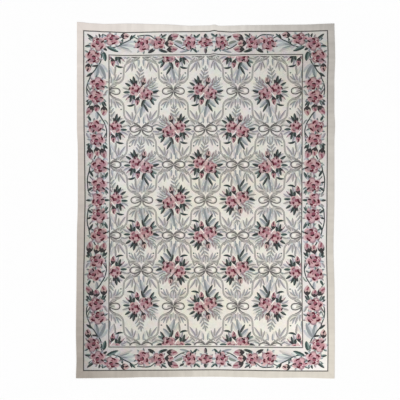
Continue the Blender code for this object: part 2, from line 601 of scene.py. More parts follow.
# %% Bud
# On a bud, the real part runs from its base, 0, to its tip, 1, and the imaginary part across it
BUD_OUTLINE = [0.1, 0.3 + 0.9j, 0.56 + 1.0j, 0.8 + 0.62j, 1.0, 0.8 - 0.62j, 0.56 - 1.0j, 0.3 - 0.9j]
BUD_LIGHT = [0.5 + 0.3j, 0.66 + 0.8j, 0.9 + 0.3j, 0.74 + 0.2j]
BUD_HEART = [0.84 - 0.4j, 0.48 + 0.1j]
SEPAL = [0.02 + 0.5j, 0.2 + 1.0j, 0.5 + 1.08j, 0.28 + 0.5j]
CALYX = [-0.1, *SEPAL, 0.42, *(place.conjugate() for place in SEPAL[::-1])]
HEART_WIDTHS = (0.3, 0.2)


def bud(pen, base, tip, width, yarn, heart="crimson"):
    """A bud in its calyx. The calyx is a dark cup whose two sepals part like a V."""
    way = tip - base
    aside = 1j * way / abs(way) * width / 2

    def on(places):
        return [base + way * p.real + aside * p.imag for p in places[::-1]]

    pen.fill(on(BUD_OUTLINE), yarn)
    pen.fill(on(BUD_LIGHT), "rose_light")
    stroke(pen, on(BUD_HEART), width * HEART_WIDTHS[0], heart, width * HEART_WIDTHS[1])
    pen.fill(on(CALYX), "calyx")


# %% [markdown]
# ## The posy
#
# A posy is two roses on a slant, tied by pink petals, with one bud above and one below on a stem
# that crosses between them. Dark leaves stand out all round it. Behind them lie paler ones, two
# fronds, and a haze of the palest leaves. Each row is one leaf: its base and its tip in
# millimetres from the posy's middle, its width, its yarn, the tone of its edge, and its bend.

# %% Posy leaves
PALE_LEAVES = [
    (-28 - 86j, -98 - 164j, 38, "mist", "mist_light"),
    (-6 - 130j, -34 - 212j, 34, "ash", "mist_light"),
    (10 - 130j, 54 - 226j, 36, "ash", "mist_light"),
    (-22 - 132j, 10 - 256j, 42, "mist", "mist_light"),
    (62 - 130j, 48 - 228j, 24, "stone", "stone_light"),
    (-100 - 40j, -178 - 54j, 22, "stone", "stone_light"),
    (-84 - 10j, -156 - 28j, 18, "lilac", "lilac_light"),
    (-92 + 18j, -164 + 40j, 20, "stone", "mist_light"),
    (-76 + 30j, -138 + 62j, 20, "sage", "ice"),
    (-72 + 44j, -138 + 98j, 19, "mist", "mist_light"),
    (-84 + 60j, -100 + 140j, 20, "mauve_grey", "stone_light"),
    (-52 + 52j, -80 + 116j, 18, "mauve_grey"),
    (20 + 74j, -32 + 154j, 24, "mauve_grey", "stone_light"),
    (80 + 66j, 126 + 106j, 20, "lilac", "lilac_light"),
    (112 + 12j, 178 + 34j, 20, "stone", "stone_light"),
    (114 - 26j, 178 - 60j, 21, "lilac", "lilac_light"),
    (100 - 36j, 150 - 88j, 20, "mauve_grey", "rose_pale"),
    (60 - 56j, 92 - 130j, 27, "lilac", "lilac_light"),
    (-94 - 50j, -150 - 88j, 20, "sage", "mist_light"),
]

# Each row: where on its stem a pair of leaflets sits, and how long they are
FROND = [(0.18, 66), (0.46, 58), (0.74, 42)]
FROND_STEM = (9, 5)
LEAFLET_LEAN = 0.75
LEAFLET_WIDTH = 22
LAST_FOOT = 0.8
LAST_REACH = 22


def frond(pen, base, tip, size, yarn, light):
    """A stem with paired leaflets that lean forwards, and one more at its end."""
    way = (tip - base) / abs(tip - base) * size
    tones = LEAFLET_WIDTH * size, yarn, light
    stroke(pen, [base, tip], FROND_STEM[0], yarn, FROND_STEM[1])
    for along, reach in FROND:
        foot = base + (tip - base) * along
        for side in (1, -1):
            leaf(pen, foot, foot + way * reach * cmath.rect(1, side * LEAFLET_LEAN), *tones)
    leaf(pen, base + (tip - base) * LAST_FOOT, tip + way * LAST_REACH, *tones)


DARK_LEAVES = [
    (58 + 50j, 76 + 148j, 33, "leaf_dark", "leaf_sage"),
    (66 + 54j, 108 + 124j, 24, "leaf_dark", "leaf_green"),
    (56 + 52j, 40 + 108j, 25, "leaf_dark"),
    (96 + 44j, 154 + 82j, 26, "leaf_dark", "leaf_sage"),
    (108 - 8j, 172 - 9j, 26, "leaf_green", "leaf_sage"),
    (80 - 28j, 62 - 84j, 31, "leaf_dark", "leaf_green"),
    (84 - 30j, 108 - 108j, 28, "leaf_dark", "leaf_sage"),
    (80 - 30j, 124 - 62j, 24, "leaf_dark"),
    (62 - 122j, 138 - 136j, 21, "leaf_green", "leaf_dark", -9),
    (-34 - 72j, 0 - 150j, 32, "leaf_dark", "leaf_sage"),
    (-24 - 124j, -68 - 204j, 25, "leaf_dark", "leaf_sage"),
    (-78 - 56j, -124 - 136j, 30, "leaf_dark", "leaf_light"),
    (-76 - 54j, -144 - 96j, 21, "leaf_sage", "leaf_light"),
    (-94 - 12j, -168 + 5j, 27, "leaf_dark", "leaf_green", 4),
]

# %% Posy flowers
UPPER_MARKS = [
    (0.22 + 0.30j, 0.36 + 0.24j, 0.42 + 0.04j, 0.34, "crimson"),
    (0.80 + 0.36j, 0.92 + 0.16j, 0.92 - 0.06j, 0.24, "maroon"),
    (-0.66 + 0.24j, -0.44 - 0.06j, -0.36 - 0.50j, 0.32, "crimson"),
    (0.10 + 1.14j, 0.14 + 0.90j, 0.04 + 0.62j, 0.28, "maroon"),
    (0.56 - 0.36j, 0.40 - 0.62j, 0.12 - 0.74j, 0.20, "rose_deep"),
    (-0.50 + 0.62j, -0.34 + 0.66j, -0.20 + 0.56j, 0.20, "rose_deep"),
]

LOWER_MARKS = [
    (-0.34 + 0.10j, -0.22 - 0.06j, -0.22 - 0.26j, 0.36, "crimson"),
    (-0.88 + 0.22j, -0.80 + 0.00j, -0.84 - 0.26j, 0.26, "maroon"),
    (0.20 + 0.76j, 0.34 + 0.56j, 0.32 + 0.30j, 0.27, "maroon"),
    (-0.34 - 0.62j, -0.08 - 0.54j, 0.14 - 0.80j, 0.26, "maroon"),
    (-0.92 - 0.56j, -0.84 - 0.78j, -0.72 - 0.98j, 0.24, "maroon"),
    (0.52 - 0.20j, 0.60 - 0.40j, 0.50 - 0.56j, 0.20, "rose_deep"),
    (-0.52 + 0.62j, -0.32 + 0.66j, -0.14 + 0.58j, 0.18, "rose_deep"),
]
LINK_PETALS = [
    (4 - 8j, 30, 38, "rose_mid", 30),
    (-2 - 52j, 20, 24, "rose_dusk", 20),
    (46 - 30j, 20, 14, "rose_pale", 20),
    (-8 + 20j, 18, 12, "rose_pale", -40),
]
POSY_ROSES = [(-46 - 28j, 62, 57, 0, LOWER_MARKS), (58 + 16j, 60, 56, 0, UPPER_MARKS)]
POSY_FRONDS = [
    (28 + 92j, 2 + 222j, 0.95, "stone", "mist_light"),
    (-66 + 44j, -140 + 124j, 0.62, "stone", "mist_light"),
]
POSY_STEMS = [
    ([-34 + 54j, -16 + 40j, 0 + 20j], 9, "rose_pale", 6),
    ([14 - 16j, 30 - 40j, 54 - 74j], 8, "white", 13),
    ([-16 + 66j, 5 + 36j, 20 + 18j], 8, "leaf_dark"),
    ([16 - 50j, 34 - 72j], 10, "leaf_dark"),
]
POSY_BUDS = [
    (-15 + 62j, -40 + 132j, 42, "bud_beige", "maroon"),
    (33 - 60j, 42 - 138j, 42, "rose_mid", "maroon"),
]

# A ring of leaves: how many, where the first is, their inner and outer radii, width and tones
HAZE = (13, 0.5, 60, 186 + 158j, 44, [("ash", "mist_light"), ("ash",), ("ash",)])
SHADOW_TONES = [("mauve_grey", "mist_light"), ("mist", "mist_light"), ("rose_dusk", "mist_light")]
SHADOWS = (9, 0.3, 40, 112 + 96j, 34, SHADOW_TONES)


def leaf_ring(pen, count, turn, inner, outer, width, tones):
    """Soft leaves that stand out all round a posy, taking turns at their tones."""
    for i in range(count):
        out = cmath.rect(1, math.tau * (i + turn) / count)
        tip = complex(out.real * outer.real, out.imag * outer.imag)
        leaf(pen, out * inner, tip, width, *tones[i % len(tones)])


def posy(pen):
    """The whole bouquet, with its upper rose to the right."""
    leaf_ring(pen, *HAZE)
    draw(leaf, pen, PALE_LEAVES)
    draw(frond, pen, POSY_FRONDS)
    leaf_ring(pen, *SHADOWS)
    draw(leaf, pen, DARK_LEAVES)
    draw(spot_shape, pen, LINK_PETALS)
    draw(rose, pen, POSY_ROSES)
    draw(spot_shape, pen, LINK_PETALS[2:])
    draw(stroke, pen, POSY_STEMS)
    draw(bud, pen, POSY_BUDS)


# %% [markdown]
# ## Bow, ribbon and sprigs
#
# The trellis is made of ribbon. Each bow has two loops, and a ribbon leaves it below on either
# side, runs out, drops straight down, and runs out again to the tails of the next bow. The loops
# are pale with a dark outline, and the ribbon is grey with a light middle. Pale sprigs grow along it.

# %% Bow
LOOP_TOP = [-8 + 7j, -28 + 22j, -60 + 30j, -92 + 22j, -105 + 0j]
LOOP_BOTTOM = [-105 + 0j, -94 - 24j, -62 - 31j, -30 - 20j, -8 - 7j]
LOOP_FILL = [-10 + 0j, -28 + 19j, -60 + 26j, -88 + 19j, -98 + 0j, -88 - 20j, -60 - 27j, -28 - 18j]
TAILS = [[-3 + 6j, -22 + 31j, -50 + 45j, -72 + 56j], [-4 - 8j, -18 - 36j, -42 - 56j, -66 - 66j]]
BOW_LINE = 11
TAIL_END = 7
LOOP_LIGHT = (-72 + 0j, 18, 15, "white")
KNOT = (0j, 10, 12, "ribbon")
LOOP_STROKES = [
    ([-58 - 5j, -38 - 4j, -14 + 0j], 6, "ribbon", 9),
    ([-50 + 7j, -34 + 6j, -14 + 2j], 5, "ribbon", 8),
    (LOOP_TOP, BOW_LINE, "ribbon_dark"),
    (LOOP_BOTTOM, BOW_LINE, "ribbon_dark"),
]


def bow(pen, tail_yarn):
    """A bow, with the first part of each of the four ribbons that meet in it."""
    for half in mirrored(pen):
        for tail in TAILS:
            stroke(half, tail, BOW_LINE, tail_yarn, TAIL_END)
        half.fill(LOOP_FILL, "ash")
        spot_shape(half, *LOOP_LIGHT)
        draw(stroke, half, LOOP_STROKES)
    spot_shape(pen, *KNOT)


# %% Ribbon
# Across in millimetres, and down as a share of the gap between two rows
RIBBON = [
    8 - 0.049j, 19 - 0.127j, 43 - 0.179j, 89 - 0.213j, 118 - 0.274j, 135 - 0.357j, 139 - 0.501j,
    143 - 0.639j, 161 - 0.734j, 208 - 0.806j, 252 - 0.867j, 280 - 0.916j, 298 - 0.973j,
]
RIBBON_WIDTH = 16
RIBBON_LIGHT_WIDTH = 6


def ribbon(pen, height):
    """The ribbon from a bow down to the next one, on the right."""
    path = [complex(place.real, place.imag * height) for place in RIBBON]
    stroke(pen, path, RIBBON_WIDTH, "ribbon", steps=2)
    stroke(pen, path[1:-1], RIBBON_LIGHT_WIDTH, "ribbon_light", steps=2)


# %% Sprigs
HANGING_SPRIG = [
    (34 - 62j, 66 - 148j, 46, "ash"),
    (40 - 76j, 118 - 122j, 40, "ash"),
    (30 - 68j, 56 - 132j, 30, "stone_light", "mist_light"),
    (18 - 74j, 24 - 142j, 18, "stone", "lilac_light"),
    (44 - 100j, 68 - 166j, 20, "lilac", "stone_light"),
    (60 - 98j, 122 - 142j, 20, "stone", "lilac_light"),
    (52 - 84j, 112 - 84j, 18, "stone", "stone_light"),
    (66 - 104j, 98 - 164j, 16, "mist", "mist_light"),
    (0 - 60j, 2 - 122j, 22, "stone_light", "mist_light"),
]

STANDING_SPRIG = [
    (70 + 50j, 98 + 150j, 50, "ash"),
    (92 + 30j, 150 + 86j, 44, "ash"),
    (96 - 20j, 160 - 60j, 44, "ash"),
    (18 + 58j, 40 + 140j, 34, "ash"),
    (74 + 56j, 94 + 138j, 30, "stone_light", "mist_light"),
    (76 + 78j, 50 + 146j, 20, "stone", "lilac_light"),
    (84 + 92j, 88 + 168j, 20, "stone", "stone_light"),
    (94 + 90j, 152 + 180j, 22, "lilac", "stone_light"),
    (104 + 22j, 166 + 44j, 21, "sage", "mist_light"),
    (98 + 40j, 146 + 80j, 19, "stone", "stone_light"),
    (108 - 24j, 176 - 40j, 23, "lilac", "lilac_light"),
    (102 - 36j, 124 - 100j, 21, "stone", "stone_light"),
    (78 + 28j, 24 + 70j, 18, "stone", "mist_light"),
    (20 + 50j, 26 + 118j, 18, "mist", "mist_light"),
]
SPRIG_STEM = ([86 + 98j, 76 + 62j, 96 + 36j, 110 + 2j, 104 - 38j, 84 - 62j], 11, "lilac", 8)


def sprigs(pen, sends):
    """A pair of sprigs: short ones where a bow sends two ribbons, tall ones where two come in."""
    for half in mirrored(pen):
        if not sends:
            stroke(half, *SPRIG_STEM)
        draw(leaf, half, HANGING_SPRIG if sends else STANDING_SPRIG)


# %% [markdown]
# ## The field
#
# The field is a lattice of seven columns and nine rows. Posies and bows take turns on it, like
# the two colours of a chessboard, and those on the rim are cut off by the border. The rows aren't
# quite evenly spaced. The ribbons that cross a gap belong to the bows above it or to those below,
# as a table says, and a bow has short sprigs where it sends ribbons and tall ones where they
# come in. Posies also turn left or right by column.

# %% Lattice
COLUMNS = 7
MIDDLE_COLUMN = (COLUMNS - 1) // 2
PITCH_X = 304.4
ROW_HEIGHTS = [1400, 1044, 684, 342, 3, -331, -661, -1003, -1377]
ROWS = len(ROW_HEIGHTS)
MIDDLE_ROW = (ROWS - 1) // 2
FIELD_X = PITCH_X * MIDDLE_COLUMN
FIELD_Y = 1388.8
# Which row's bows send the ribbons across the gap below each row
SENDERS = [1, 1, 2, 4, 4, 6, 7, 7]
DARK_TAILED = (1, 2, 6, 7)
# How much further up or down than the others in its row a posy in the field's corner sits
CORNER_STEP = 14
# A small leaf-green dot beside each ribbon, placed as the ribbon's own points are
DOT = 113 - 0.48j
DOT_WIDE = 9.0
DOT_TALL = DOT_WIDE * 0.8


def lattice(pen, parity):
    """The crossings that hold posies, with parity 0, or bows, with 1: a pen, its column and row."""
    for row, height in enumerate(ROW_HEIGHTS):
        for column in range(COLUMNS):
            if (row + column) % 2 == parity:
                yield pen.at(complex((column - MIDDLE_COLUMN) * PITCH_X, height)), column, row


def gaps(row):
    """The gaps below and above a row: 1 or -1 for the way, the gap's height, and whether it sends."""
    for way, gap in ((1, row), (-1, row - 1)):
        if 0 <= gap < len(SENDERS):
            yield way, ROW_HEIGHTS[gap] - ROW_HEIGHTS[gap + 1], SENDERS[gap] == row


def posy_flips(column, row):
    """1 or -1 for left to right and for top to bottom."""
    upper = row < MIDDLE_ROW or (row == MIDDLE_ROW and column < MIDDLE_COLUMN)
    even_row = min(row, ROWS - 1 - row) % 2 == 0
    faces_right = column < MIDDLE_COLUMN if even_row else column > MIDDLE_COLUMN
    return (1 if faces_right else -1), (1 if upper else -1)


def draw_field(chart):
    pen = Pen(chart, window=complex(FIELD_X, FIELD_Y))
    for place, _, row in lattice(pen, 1):
        for way, _, sends in gaps(row):
            sprigs(place.at(0j, 1, way if sends else -way), sends)
    for place, _, row in lattice(pen, 1):
        for way, height, sends in gaps(row):
            for half in mirrored(place.at(0j, 1, way)) if sends else ():
                ribbon(half, height)
                if row != MIDDLE_ROW:
                    spot_shape(half, complex(DOT.real, DOT.imag * height), DOT_WIDE, DOT_TALL, "leaf_sage")
    for place, _, row in lattice(pen, 1):
        bow(place, "ribbon_dark" if row in DARK_TAILED else "ribbon")
    for place, column, row in lattice(pen, 0):
        flip_x, flip_y = posy_flips(column, row)
        in_corner = row in (0, ROWS - 1) and column in (0, COLUMNS - 1)
        posy(place.at(CORNER_STEP * 1j * flip_y if in_corner else 0j, flip_x, flip_y))


# %% [markdown]
# ## The border
#
# The border runs between two dark guard lines: a garland of roses, buds and leaves on a winding
# stem. Only the upper left quarter is charted, once for the side and once for the top, and three
# mirrored pens draw the rest. On the side, the real part is the distance in from the outer guard
# line, and the imaginary part the height above the middle of the carpet.

# %% The side garland
# Stems are rows of places and a width. Leaves are rows as before. Roses are rows of centre, half
# width, half height and turn. Buds are rows of base, tip, width, yarn and the yarn of the heart.
SIDE_STEMS = [
    ([170 + 1420j, 166 + 1355j, 154 + 1312j, 132 + 1286j, 104 + 1237j, 66 + 1192j, 56 + 1160j,
     36 + 1113j, 27 + 1068j, 29 + 1020j, 40 + 980j], 13),
    ([62 + 1172j, 76 + 1145j, 97 + 1114j], 11),
    ([29 + 1062j, 54 + 1019j, 80 + 986j], 11),
    ([125 + 838j, 148 + 811j, 170 + 775j, 193 + 738j, 206 + 699j, 213 + 664j, 212 + 630j,
     206 + 590j, 204 + 560j], 13),
    ([210 + 643j, 184 + 600j, 158 + 576j], 11),
    ([156 + 768j, 142 + 728j], 10),
    ([106 + 426j, 82 + 379j, 61 + 346j, 48 + 310j, 42 + 276j, 30 + 237j, 23 + 191j, 25 + 146j,
     30 + 96j, 42 + 66j], 13),
    ([82 + 379j, 118 + 356j], 11),
    ([46 + 228j, 84 + 184j, 110 + 172j], 10),
]

SIDE_PALE = [
    (146 + 1302j, 230 + 1222j, 48, "mist_light", "ice"),
    (138 + 1292j, 206 + 1156j, 58, "mist", "mist_light"),
    (132 + 1280j, 112 + 1162j, 48, "mist", "mist_light"),
    (198 + 1000j, 226 + 1056j, 28, "stone", "mist_light"),
    (66 + 1042j, 38 + 1104j, 24, "sage", "ice"),
    (124 + 842j, 122 + 768j, 35, "mist", "mist_light"),
    (192 + 768j, 228 + 722j, 24, "sage", "ice"),
    (56 + 582j, 18 + 640j, 30, "lilac", "lilac_light"),
    (128 + 266j, 100 + 216j, 30, "sage", "ice"),
    (152 + 266j, 150 + 218j, 28, "stone", "stone_light"),
    (58 + 330j, 92 + 276j, 21, "lilac", "mauve_grey"),
    (54 + 360j, 24 + 330j, 20, "sage", "ice"),
    (176 + 96j, 206 + 50j, 28, "sage", "ice"),
    (62 + 34j, 26 + 62j, 18, "stone"),
    (60 + 52j, 30 + 84j, 15, "mist"),
    (180 + 420j, 222 + 380j, 19, "lilac_light"),
    (60 + 836j, 24 + 780j, 21, "sage", "ice"),
]

SIDE_LEAVES = [
    (188 + 1416j, 206 + 1326j, 42, "leaf_green", "leaf_light"),
    (136 + 1287j, 68 + 1280j, 20, "leaf_dark", None, 6),
    (84 + 1213j, 22 + 1172j, 25, "leaf_dark", "leaf_green"),
    (66 + 958j, 24 + 900j, 31, "leaf_dark", "leaf_sage"),
    (64 + 954j, 16 + 938j, 24, "leaf_dark", "leaf_green"),
    (170 + 950j, 188 + 886j, 24, "leaf_dark", "leaf_green"),
    (60 + 536j, 14 + 524j, 24, "leaf_dark", "leaf_sage"),
    (176 + 534j, 192 + 478j, 24, "leaf_dark", "leaf_sage"),
    (74 + 950j, 48 + 894j, 21, "leaf_sage", "mist"),
    (168 + 956j, 214 + 896j, 25, "leaf_dark", "leaf_sage"),
    (170 + 950j, 212 + 942j, 21, "leaf_sage"),
    (64 + 756j, 38 + 802j, 25, "leaf_green"),
    (62 + 542j, 26 + 486j, 31, "leaf_dark", "leaf_green"),
    (70 + 536j, 54 + 484j, 20, "leaf_light", "mist"),
    (176 + 538j, 220 + 490j, 25, "leaf_dark", "leaf_green"),
    (178 + 540j, 218 + 530j, 18, "leaf_light", "ice"),
    (44 + 284j, 80 + 222j, 25, "leaf_dark", "leaf_green"),
    (28 + 176j, 68 + 154j, 21, "leaf_dark"),
    (70 + 122j, 22 + 88j, 25, "leaf_dark", "leaf_sage"),
    (186 + 204j, 222 + 270j, 28, "leaf_green", "leaf_sage"),
    (184 + 206j, 170 + 246j, 24, "leaf_green", "leaf_light"),
    (184 + 206j, 150 + 226j, 20, "leaf_green"),
    (182 + 110j, 222 + 62j, 24, "leaf_green", "leaf_sage"),
    (184 + 110j, 222 + 112j, 17, "leaf_sage"),
]

SIDE_ROSES = [
    (135 + 1107j, 77, 65, 0),
    (117 + 984j, 73, 65, 24),
    (107 + 699j, 76, 63, -80),
    (122 + 575j, 72, 64, -24),
    (142 + 328j, 79, 73, 10),
    (136 + 143j, 75, 73, -8),
]

SIDE_BUDS = [
    (44 + 1296j, 40 + 1212j, 56, "bud_beige", "maroon"),
    (82 + 893j, 22 + 812j, 59, "bud_mauve", "rose_deep"),
    (123 + 910j, 117 + 838j, 59, "rose_dusk", "rose_deep"),
    (191 + 894j, 187 + 800j, 62, "bud_beige", "rose_deep"),
    (46 + 490j, 60 + 384j, 62, "bud_mauve", "rose_deep"),
    (112 + 500j, 130 + 414j, 59, "bud_beige", "rose_deep"),
    (160 + 488j, 202 + 398j, 64, "bud_mauve", "rose_deep"),
]

MIDDLE_ROSE = (124 + 0j, 62, 74, 40)
MIDDLE_LEAVES = [
    (64 + 0j, 6 + 0j, 25, "leaf_dark", "leaf_sage"),
    (176 + 0j, 236 + 2j, 24, "leaf_green"),
]

# %% [markdown]
# Along the top, the real part is the distance left of the middle of the carpet, and the imaginary
# part the distance down from the outer guard line, so both tables read like the photograph.

# %% The top garland
TOP_STEMS = [
    ([940 + 138j, 905 + 146j, 867 + 147j, 821 + 131j, 783 + 106j, 731 + 80j, 703 + 64j], 13),
    ([700 + 62j, 673 + 48j, 630 + 70j], 11),
    ([645 + 37j, 589 + 31j, 540 + 31j, 511 + 42j, 489 + 60j, 467 + 79j], 12),
    ([295 + 116j, 262 + 140j, 224 + 160j, 186 + 170j, 148 + 178j], 11),
    ([224 + 160j, 200 + 150j, 176 + 136j], 8),
    ([826 + 60j, 796 + 36j], 8),
]

TOP_PALE = [
    (806 + 122j, 662 + 88j, 58, "mist_light", "ice"),
    (812 + 128j, 652 + 142j, 55, "mist_light", "ice"),
    (836 + 144j, 688 + 190j, 42, "stone_light", "ash"),
    (816 + 126j, 730 + 118j, 16, "mist"),
    (820 + 132j, 716 + 162j, 14, "mist"),
    (210 + 132j, 306 + 92j, 62, "mist_light", "sage"),
    (150 + 170j, 246 + 196j, 28, "mist", "lilac_light"),
    (574 + 50j, 520 + 38j, 38, "mist_light"),
    (412 + 176j, 352 + 192j, 19, "sage"),
    (60 + 180j, 100 + 196j, 19, "mist", "mist_light"),
    (246 + 60j, 180 + 28j, 20, "stone_light"),
]

TOP_LEAVES = [
    (803 + 122j, 780 + 60j, 27, "leaf_green", "leaf_sage"),
    (712 + 74j, 694 + 22j, 22, "leaf_dark"),
    (700 + 62j, 662 + 20j, 22, "leaf_green", "leaf_light"),
    (476 + 160j, 546 + 200j, 36, "leaf_dark"),
    (450 + 166j, 362 + 198j, 29, "leaf_dark", "leaf_green"),
    (448 + 164j, 388 + 150j, 20, "leaf_sage"),
    (418 + 58j, 416 + 16j, 21, "leaf_dark"),
    (418 + 58j, 366 + 22j, 24, "leaf_dark", "leaf_light"),
    (202 + 62j, 248 + 34j, 21, "leaf_dark"),
    (92 + 60j, 112 + 26j, 20, "leaf_green"),
    (92 + 62j, 50 + 22j, 24, "leaf_green", "leaf_light"),
    (122 + 148j, 80 + 202j, 25, "leaf_green"),
    (122 + 148j, 134 + 178j, 20, "leaf_dark"),
]

TOP_ROSES = [
    (595 + 118j, 68, 69, 60),
    (444 + 106j, 64, 60, -30),
    (148 + 105j, 60, 65, 130),
]
BRIDGE_PETALS = [
    (546 + 60j, 24, 20, "rose_pale"),
    (510 + 98j, 26, 30, "rose_dusk"),
    (526 + 80j, 16, 22, "rose_light"),
]

TOP_BUDS = [
    (797 + 36j, 716 + 31j, 56, "bud_beige", "maroon"),
    (352 + 70j, 250 + 24j, 62, "bud_mauve", "rose_deep"),
    (380 + 112j, 296 + 108j, 62, "bud_beige", "rose_deep"),
    (360 + 170j, 258 + 160j, 59, "bud_mauve", "rose_deep"),
]

CROWN_ROSE = (0 + 104j, 72, 46, 200)
CROWN_LEAVES = [
    (0 + 64j, 0 + 18j, 38, "leaf_dark", "leaf_sage"),
    (0 + 156j, 0 + 212j, 32, "leaf_dark", "mauve_grey"),
]

# %% [markdown]
# Three roses fill each corner, with leaves that point out to it. Their places are measured in
# and down from the corner of the outer guard line.

# %% The corner
CORNER_ROSES = [(87 + 242j, 71, 69, 170), (264 + 72j, 77, 56, 20), (136 + 118j, 69, 66, 0)]
CORNER_LEAVES = [
    (112 + 94j, 30 + 26j, 31, "leaf_dark", "leaf_sage"),
    (98 + 96j, 40 + 66j, 20, "leaf_sage"),
    (76 + 138j, 8 + 148j, 28, "leaf_dark", "leaf_light"),
    (164 + 70j, 142 + 18j, 22, "leaf_dark"),
    (166 + 70j, 184 + 16j, 24, "leaf_dark", "leaf_sage"),
    (182 + 152j, 222 + 180j, 25, "leaf_dark"),
    (218 + 142j, 330 + 188j, 36, "leaf_green", "leaf_light"),
    (300 + 148j, 352 + 176j, 31, "ice", "mist_light"),
]
CORNER_STEMS = [([184 + 150j, 198 + 142j, 222 + 140j], 9), ([176 + 160j, 170 + 186j], 11)]

# %% [markdown]
# A quarter of the border is these tables read in turn: pale leaves first, then stems, dark
# leaves, roses and buds, so that what lies in front is laid last. A few petals bridge two of the
# roses along the top, and one of those roses is laid over them.

# %% Straight bars
EDGE_STEP = 20.0


def steps_between(low, high, step):
    return np.linspace(low, high, max(2, round((high - low) / step) + 1))


def rectangle_loop(half_x, half_y, step):
    """Points round a rectangle, anticlockwise, each step apart."""
    xs = steps_between(-half_x, half_x, step)
    ys = steps_between(-half_y, half_y, step)
    return (
        [complex(x, -half_y) for x in xs[:-1]]
        + [complex(half_x, y) for y in ys[:-1]]
        + [complex(x, half_y) for x in xs[:0:-1]]
        + [complex(-half_x, y) for y in ys[:0:-1]]
    )


def bar(middle, half_x, half_y):
    """An upright or level bar, with points along its sides so that it can bend with the cloth."""
    return [middle + place for place in rectangle_loop(half_x, half_y, EDGE_STEP)]


# %% Drawing the border
GUARD_WIDTH = 10.5
INNER_GUARD_WIDTH = 9.5
OUTER_GUARD_X = WORKED_X - GUARD_WIDTH / 2
OUTER_GUARD_Y = WORKED_Y - GUARD_WIDTH / 2
STEM_TAPER = 0.8
STEM_SHADE = 0.35


def stem(pen, points, width):
    """A stem that grows thinner, with a dark line down its middle."""
    stroke(pen, points, width, "stem", width * STEM_TAPER)
    stroke(pen, points, width * STEM_SHADE, "leaf_dark")


def garland(pen, stems, leaves, roses, buds=()):
    draw(stem, pen, stems)
    draw(leaf, pen, leaves)
    draw(rose, pen, roses)
    draw(bud, pen, buds)


def border_pens(chart, flip_x=1, flip_y=1):
    """The pens for a side, for the top or bottom, and for the corner between them."""
    quarter = Pen(chart, 0j, flip_x, flip_y)
    side = quarter.at(complex(-OUTER_GUARD_X, 0))
    top = quarter.at(complex(0, OUTER_GUARD_Y), -1, -1)
    return side, top, quarter.at(complex(-OUTER_GUARD_X, OUTER_GUARD_Y), 1, -1)


def draw_border(chart):
    for flip_x, flip_y in ((1, 1), (1, -1), (-1, 1), (-1, -1)):
        side, top, corner = border_pens(chart, flip_x, flip_y)
        draw(leaf, side, SIDE_PALE)
        garland(side, SIDE_STEMS, SIDE_LEAVES, SIDE_ROSES, SIDE_BUDS)
        draw(leaf, top, TOP_PALE)
        garland(top, TOP_STEMS, TOP_LEAVES, TOP_ROSES[1:], TOP_BUDS)
        draw(spot_shape, top, BRIDGE_PETALS)
        draw(rose, top, TOP_ROSES[:1])
        garland(corner, CORNER_STEMS, CORNER_LEAVES, CORNER_ROSES)
    for flip in (1, -1):
        garland(border_pens(chart, flip_x=flip)[0], (), MIDDLE_LEAVES, [MIDDLE_ROSE])
        garland(border_pens(chart, flip_y=flip)[1], (), CROWN_LEAVES, [CROWN_ROSE])


def draw_frame(pen, half_x, half_y, width, yarn):
    """A frame of four bars, whose outer side lies half_x and half_y from the middle."""
    for sign in (1, -1):
        pen.fill(bar(complex(half_x - width / 2, 0) * sign, width / 2, half_y), yarn)
        pen.fill(bar(complex(0, half_y - width / 2) * sign, half_x, width / 2), yarn)


# %% [markdown]
# ## From chart to cloth
#
# All the outlines go to one constrained triangulation. It splits the cloth along every outline and
# says which shapes cover each triangle, so each triangle simply takes the colour of the last one
# laid. The colours then meet in clean edges, and the mesh needs no picture. A grid of extra points
# lets the cloth swell softly where no motif lies. The plain ground is laid first, and the guard
# lines, which close off the field and the border, last.

# %% Draw everything
GRID_STEP = 40.0


def inner_grid(half_x, half_y, step):
    xs = steps_between(-half_x, half_x, step)[1:-1]
    ys = steps_between(-half_y, half_y, step)[1:-1]
    return [complex(x, y) for x in xs for y in ys]


chart = Chart()
chart.add(rectangle_loop(WORKED_X, WORKED_Y, EDGE_STEP), "cream")
draw_field(chart)
pen = Pen(chart)
inner_guard = complex(FIELD_X + INNER_GUARD_WIDTH / 2, FIELD_Y + INNER_GUARD_WIDTH / 2)
border_width = complex(WORKED_X, WORKED_Y) - inner_guard
draw_frame(pen, WORKED_X, WORKED_Y, border_width.real, "border_cream")
draw_border(chart)
draw_frame(pen, inner_guard.real, inner_guard.imag, INNER_GUARD_WIDTH, "guard")
draw_frame(pen, WORKED_X, WORKED_Y, GUARD_WIDTH, "guard")
print(len(chart.outlines), "shapes,", sum(map(len, chart.outlines)), "points")

# %% Triangulate
# Places nearer to each other than this are one place, in millimetres
WELD = 1e-3


def anticlockwise(outline):
    turned = sum((a.conjugate() * b).imag for a, b in zip(outline, outline[1:] + outline[:1]))
    return outline if turned > 0 else outline[::-1]


def triangulate(outlines, loose=()):
    """The places, the triangles, the number of the last outline over each, and the given places."""
    given, faces = [], []
    for outline in outlines:
        faces.append(list(range(len(given), len(given) + len(outline))))
        given += anticlockwise(outline)
    flat = [Vector((p.real, p.imag)) for p in (*given, *loose)]
    verts, _, triangles, sources, _, covers = delaunay_2d_cdt(flat, [], faces, 0, WELD, True)
    kept = [i for i, cover in enumerate(covers) if cover]
    owners = np.array([max(covers[i]) for i in kept])
    drawn = np.array([bool(source) for source in sources])
    spots = np.array([complex(*v) for v in verts])
    return spots, np.array([triangles[i] for i in kept]), owners, drawn


# %% [markdown]
# Much of what was drawn is covered by something later, and its edges only cut the visible shapes
# into needless pieces. So the cloth is triangulated a second time, from nothing but the edges where
# two yarns meet. Each of these knows the yarn on its left and on its right, and the yarns spread
# from there to the triangles that touch no such edge.

# %% Keep only what shows
NOTHING = -1
STRAIGHT = 0.01


